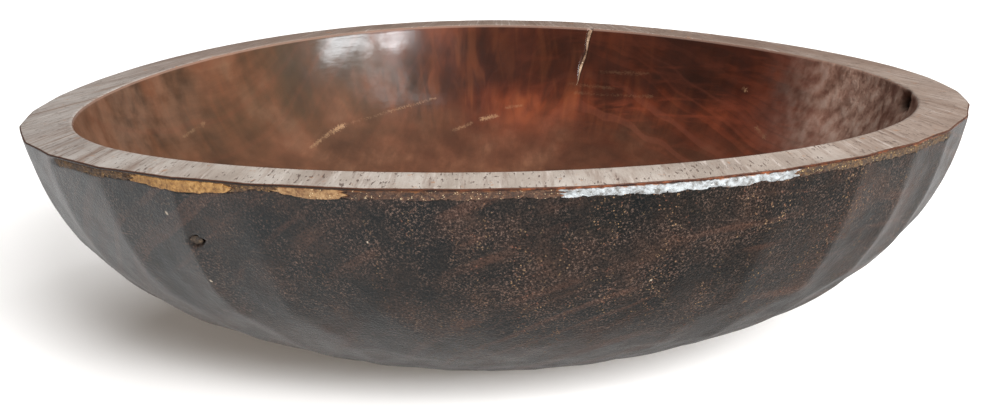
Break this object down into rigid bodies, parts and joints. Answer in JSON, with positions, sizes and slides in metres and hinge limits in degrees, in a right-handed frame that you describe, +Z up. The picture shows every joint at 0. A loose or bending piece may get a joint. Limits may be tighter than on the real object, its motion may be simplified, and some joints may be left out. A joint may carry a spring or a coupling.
{
  "type": "carved wooden bowl",
  "caption": "Wide shallow bowl carved from one block of dark wood, with a thick flat rim and adze facets outside, for holding food or household things.",
  "frame": {"origin": "middle of the flat base, on the table", "axes": "+Z up, -Y towards the front, where the rim edge is filled, and +X towards the right-hand end"},
  "size_m": [0.4794, 0.4796, 0.1353],
  "materials": {
    "bowl_wood": "oiled and worn, glossy inside, dark patina outside, bare and weathered on the rim",
    "grit_filler": "rough granular crust",
    "ochre_filler": "smooth matt",
    "white_filler": "rough chalky crust",
    "crack_putty": "matt",
    "knot_wood": "rough end grain"
  },
  "bodies": {
    "root": {"bowl_body": "bowl_wood", "edge_filler_grit_left": "grit_filler", "edge_filler_ochre_left": "ochre_filler", "edge_filler_grit_seam": "grit_filler", "edge_filler_ochre_centre": "ochre_filler", "edge_filler_grit_centre": "grit_filler", "edge_filler_white": "white_filler", "edge_filler_grit_right": "grit_filler", "crack_filler": "crack_putty", "wall_knot": "knot_wood", "end_knot": "knot_wood"}
  },
  "joints": []
}
